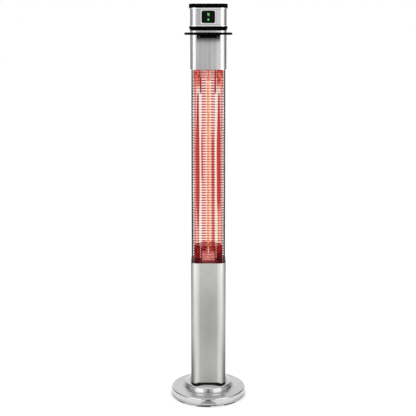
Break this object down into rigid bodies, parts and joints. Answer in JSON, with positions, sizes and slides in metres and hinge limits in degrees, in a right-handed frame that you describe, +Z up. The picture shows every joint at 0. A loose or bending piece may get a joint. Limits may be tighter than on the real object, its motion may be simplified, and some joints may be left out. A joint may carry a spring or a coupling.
{
  "type": "infrared patio heater tower",
  "caption": "Free-standing infrared heater: a rounded-square steel column on a round weighted base, with a wire-caged lamp, a round heat shield and a display head.",
  "frame": {"origin": "on the floor, under the axis of the column and base", "axes": "+Z up, the display and the open side of the reflector face -Y, +X to the viewer's right"},
  "size_m": [0.2604, 0.2604, 1.354],
  "materials": {
    "spun_steel": "spun and brushed in fine circles, satin",
    "satin_steel": "satin, slightly warm grey",
    "brushed_casing": "brushed lengthwise, bright satin",
    "guard_wire": "plated wire, slightly heat-tinted",
    "bright_steel": "drawn, bright",
    "zinc_steel": "zinc plated",
    "dark_steel": "black primer",
    "cast_iron": "rough casting",
    "back_sheet": "mill finish",
    "reflector_sheet": "polished, lit red by the lamp",
    "black_metal": "black powder coat, satin",
    "black_plastic": "black, satin",
    "rocker_plastic": "black, glossy",
    "plunger_plastic": "red, satin",
    "pale_plastic": "off-white",
    "rubber": "black, matt",
    "quartz": "clear fused quartz",
    "element": "glowing carbon element",
    "lamp_ceramic": "unglazed, cream",
    "loom_sleeve": "glass-fibre sleeve, cream",
    "insulation": "pressed mineral fibre, matt",
    "brass_post": "turned",
    "circuit_board": "green solder mask",
    "transformer_varnish": "brown varnish",
    "display_glass": "black, glossy",
    "display_light": "lit green"
  },
  "bodies": {
    "tower": {"base_cover": "spun_steel", "base_plate": "dark_steel", "ballast_ring": "cast_iron", "rubber_feet": "rubber", "base_bolts": "zinc_steel", "bolt_spacers": "zinc_steel", "foot_bracket": "zinc_steel", "bolt_nuts": "zinc_steel", "column_gasket": "rubber", "lower_column": "satin_steel", "rear_screws": "zinc_steel", "switch_housing": "black_plastic", "cable_gland": "black_plastic", "gland_nut": "black_plastic", "terminal_block": "pale_plastic", "terminal_bracket": "zinc_steel", "lower_mount_plate": "zinc_steel", "upper_mount_plate": "zinc_steel", "support_posts": "bright_steel", "post_nuts": "zinc_steel", "wire_guard": "guard_wire", "reflector": "reflector_sheet", "reflector_back": "back_sheet", "reflector_ends": "reflector_sheet", "quartz_tube": "quartz", "carbon_element": "element", "lamp_caps": "lamp_ceramic", "lamp_holders": "lamp_ceramic", "wiring_conduit": "bright_steel", "wire_loom": "loom_sleeve", "thermal_cutout": "bright_steel", "upper_casing": "brushed_casing", "insulation_board": "insulation", "board_standoffs": "brass_post", "control_board": "circuit_board", "power_relays": "black_plastic", "transformer": "transformer_varnish", "heat_shield": "black_metal", "shield_brackets": "black_metal", "shield_screws": "dark_steel", "head_collar": "black_plastic", "head_casing": "brushed_casing", "display_window": "display_glass", "display_frame": "black_plastic", "display_board": "circuit_board", "display_lights": "display_light", "top_cap": "black_plastic", "tie_rods": "zinc_steel", "tipover_housing": "black_plastic", "tipover_spring": "bright_steel", "tipover_switch": "black_plastic"},
    "rocker": {"power_rocker": "rocker_plastic"},
    "plunger": {"tipover_plunger": "plunger_plastic"}
  },
  "joints": [
    {"name": "power_rocker_tilt", "type": "hinge", "parent": "tower", "child": "rocker", "pos_m": [-0.019, 0.057, 0.11742], "axis": [1, 0, 0], "range_deg": [-16, 0]},
    {"name": "tipover_plunger_slide", "type": "slide", "parent": "tower", "child": "plunger", "axis": [0, 0, -1], "range_m": [0, 0.006], "stiffness_N_per_m": 100, "springref_m": 0.012, "deforming": ["tipover_spring"]}
  ]
}
